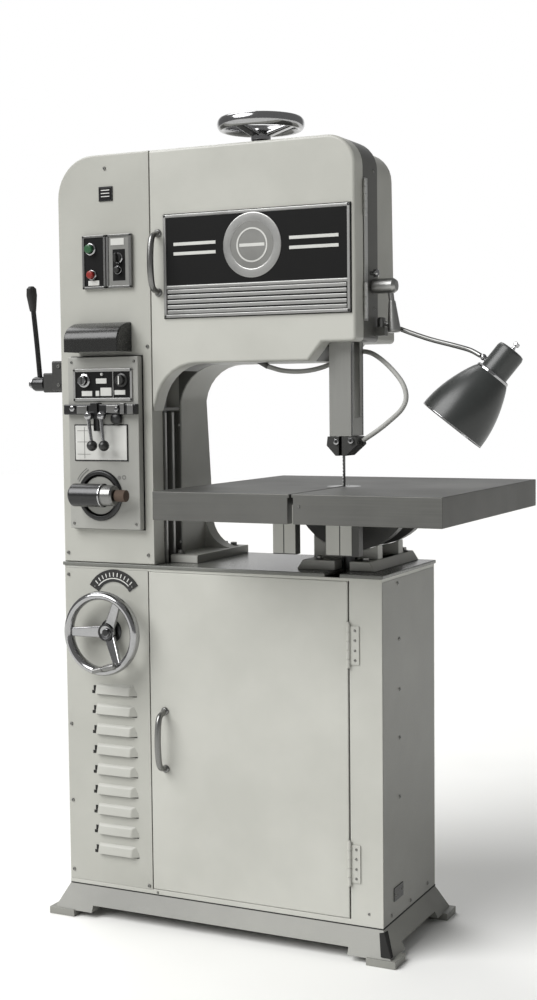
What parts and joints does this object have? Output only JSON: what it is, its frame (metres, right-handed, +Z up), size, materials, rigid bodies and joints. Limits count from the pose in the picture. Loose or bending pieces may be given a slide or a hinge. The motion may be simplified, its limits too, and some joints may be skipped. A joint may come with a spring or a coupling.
{
  "type": "band saw",
  "caption": "Vertical contour band saw: cabinet base, C-frame column, tilting table, guide post, butt welder with grinder, shear lever, handwheels and work lamp.",
  "frame": {"origin": "centre of the bounding box at floor level", "axes": "+X to the operator's right, +Y to the back, +Z up; the doors and controls face -Y"},
  "size_m": [1.0545, 0.55, 1.5683],
  "materials": {
    "grey_paint": "satin hammered grey",
    "cast_grey": "satin dark grey over cast iron",
    "ground_iron": "ground",
    "steel": "brushed",
    "chrome": "polished",
    "black_enamel": "gloss black",
    "lamp_enamel": "gloss dark",
    "rubber": "matte",
    "dark_plastic": "matte",
    "red_plastic": "gloss",
    "green_plastic": "gloss",
    "opal_glass": "opal",
    "abrasive": "gritty"
  },
  "bodies": {
    "frame": {"base_plinth": "cast_grey", "cabinet_shell": "grey_paint", "cabinet_lid": "grey_paint", "service_panel": "grey_paint", "lower_hinge_top": "steel", "lower_hinge_bottom": "steel", "column_cover": "grey_paint", "blade_channel": "cast_grey", "column_casting": "cast_grey", "wheel_housing": "grey_paint", "upper_hinge": "steel", "bearing_pedestal": "cast_grey", "drive_motor": "cast_grey", "drive_belt": "rubber", "blade": "steel", "speed_gearbox": "cast_grey", "cradle_left": "cast_grey", "cradle_right": "cast_grey", "lower_guide": "cast_grey", "switch_plate": "steel", "lamp_hood": "black_enamel", "welder_box": "grey_paint", "grinder_motor": "dark_plastic", "shear_bracket": "cast_grey", "air_hose": "rubber"},
    "lower_door_body": {"lower_door": "grey_paint", "lower_handle": "chrome"},
    "upper_door_body": {"upper_door": "grey_paint", "name_plate": "chrome", "upper_handle": "chrome"},
    "tension_block": {"tension_slide": "cast_grey"},
    "upper_wheel_body": {"upper_wheel": "cast_grey", "upper_tyre": "rubber"},
    "lower_wheel_body": {"lower_wheel": "cast_grey", "lower_tyre": "rubber"},
    "motor_pulley_body": {"motor_pulley": "steel"},
    "tension_handwheel_body": {"tension_handwheel": "chrome"},
    "speed_handwheel_body": {"speed_handwheel": "chrome"},
    "speed_crank_body": {"speed_crank": "black_enamel"},
    "table_body": {"table": "ground_iron", "table_insert": "steel", "trunnion": "cast_grey"},
    "post_body": {"guide_post": "ground_iron", "guide_block": "black_enamel"},
    "clamp_lever_body": {"clamp_lever": "black_enamel"},
    "start_button_body": {"start_button": "green_plastic"},
    "stop_button_body": {"stop_button": "red_plastic"},
    "jog_button_body": {"jog_button": "dark_plastic"},
    "selector_body": {"selector_knob": "dark_plastic"},
    "weld_lever_left_body": {"weld_lever_left": "black_enamel"},
    "weld_lever_right_body": {"weld_lever_right": "black_enamel"},
    "grinder_wheel_body": {"grinder_wheel": "abrasive"},
    "shear_lever_body": {"shear_lever": "black_enamel"},
    "lamp_arm_body": {"lamp_arm": "chrome"},
    "lamp_head_body": {"lamp_socket": "lamp_enamel", "lamp_shade": "lamp_enamel", "lamp_bulb": "opal_glass"},
    "lamp_key_body": {"lamp_key": "chrome"}
  },
  "joints": [
    {"name": "lower_door_hinge", "type": "hinge", "parent": "frame", "child": "lower_door_body", "pos_m": [0.2281, -0.098, 0.387], "axis": [0, 0, 1], "range_deg": [0, 110]},
    {"name": "upper_door_hinge", "type": "hinge", "parent": "frame", "child": "upper_door_body", "pos_m": [0.2496, -0.055, 1.305], "axis": [0, 0, 1], "range_deg": [0, 100]},
    {"name": "upper_wheel_slide", "type": "slide", "parent": "frame", "child": "tension_block", "axis": [0, 0, 1], "range_m": [-0.01, 0]},
    {"name": "upper_wheel_spin", "type": "hinge", "parent": "tension_block", "child": "upper_wheel_body", "pos_m": [0.0061, -0.037, 1.307], "axis": [0, 1, 0], "continuous": true},
    {"name": "lower_wheel_spin", "type": "hinge", "parent": "frame", "child": "lower_wheel_body", "pos_m": [0.0061, -0.037, 0.5], "axis": [0, 1, 0], "continuous": true},
    {"name": "motor_spin", "type": "hinge", "parent": "frame", "child": "motor_pulley_body", "pos_m": [-0.2569, 0.096, 0.175], "axis": [0, 1, 0], "continuous": true},
    {"name": "tension_turn", "type": "hinge", "parent": "frame", "child": "tension_handwheel_body", "pos_m": [0.0141, 0, 1.546], "axis": [0, 0, 1], "range_deg": [-1800, 0]},
    {"name": "speed_turn", "type": "hinge", "parent": "frame", "child": "speed_handwheel_body", "pos_m": [-0.2809, -0.129, 0.5805], "axis": [0, -1, 0], "continuous": true},
    {"name": "crank_fold", "type": "hinge", "parent": "speed_handwheel_body", "child": "speed_crank_body", "pos_m": [-0.2849, -0.15, 0.51], "axis": [0.2588, 0, -0.9659], "range_deg": [0, 90]},
    {"name": "table_tilt", "type": "hinge", "parent": "frame", "child": "table_body", "pos_m": [0.19655, 0, 0.872], "axis": [0, 1, 0], "range_deg": [-10, 45]},
    {"name": "post_slide", "type": "slide", "parent": "frame", "child": "post_body", "axis": [0, 0, 1], "range_m": [-0.045, 0.13], "deforming": ["air_hose"]},
    {"name": "post_clamp", "type": "hinge", "parent": "frame", "child": "clamp_lever_body", "pos_m": [0.2681, -0.014, 1.24], "axis": [1, 0, 0], "range_deg": [-60, 0]},
    {"name": "start_press", "type": "slide", "parent": "frame", "child": "start_button_body", "axis": [0, 1, 0], "range_m": [0, 0.003], "stiffness_N_per_m": 300},
    {"name": "stop_press", "type": "slide", "parent": "frame", "child": "stop_button_body", "axis": [0, 1, 0], "range_m": [0, 0.003], "stiffness_N_per_m": 300},
    {"name": "jog_press", "type": "slide", "parent": "frame", "child": "jog_button_body", "axis": [0, 1, 0], "range_m": [0, 0.003], "stiffness_N_per_m": 300},
    {"name": "selector_turn", "type": "hinge", "parent": "frame", "child": "selector_body", "pos_m": [-0.2459, -0.108, 1.309], "axis": [0, -1, 0], "range_deg": [-45, 45]},
    {"name": "left_jaw_clamp", "type": "hinge", "parent": "frame", "child": "weld_lever_left_body", "pos_m": [-0.2989, -0.135, 1.006], "axis": [0, 1, 0], "range_deg": [0, 60]},
    {"name": "right_jaw_clamp", "type": "hinge", "parent": "frame", "child": "weld_lever_right_body", "pos_m": [-0.2699, -0.135, 1.006], "axis": [0, 1, 0], "range_deg": [-60, 0]},
    {"name": "grinder_spin", "type": "hinge", "parent": "frame", "child": "grinder_wheel_body", "pos_m": [-0.2269, -0.139, 0.852], "axis": [1, 0, 0], "continuous": true},
    {"name": "shear_pull", "type": "hinge", "parent": "frame", "child": "shear_lever_body", "pos_m": [-0.4989, -0.003, 1.07], "axis": [1, 0, 0], "range_deg": [0, 75]},
    {"name": "lamp_swivel", "type": "hinge", "parent": "frame", "child": "lamp_arm_body", "pos_m": [0.2561, 0.006, 1.175], "axis": [0, 0, 1], "range_deg": [-3, 60]},
    {"name": "lamp_tilt", "type": "hinge", "parent": "lamp_arm_body", "child": "lamp_head_body", "pos_m": [0.45466, -0.00114, 1.10646], "axis": [0, 1, 0], "range_deg": [-25, 25]},
    {"name": "lamp_key_turn", "type": "hinge", "parent": "lamp_head_body", "child": "lamp_key_body", "pos_m": [0.50538, 0.00839, 1.1183], "axis": [0.583, 0.2325, 0.7785], "range_deg": [0, 90]}
  ],
  "couplings": [
    {"joint": "upper_wheel_spin", "follows": "lower_wheel_spin", "ratio": 1},
    {"joint": "motor_spin", "follows": "lower_wheel_spin", "ratio": 2.5714},
    {"joint": "upper_wheel_slide", "follows": "tension_turn", "m_per_rad": 0.00031831}
  ]
}
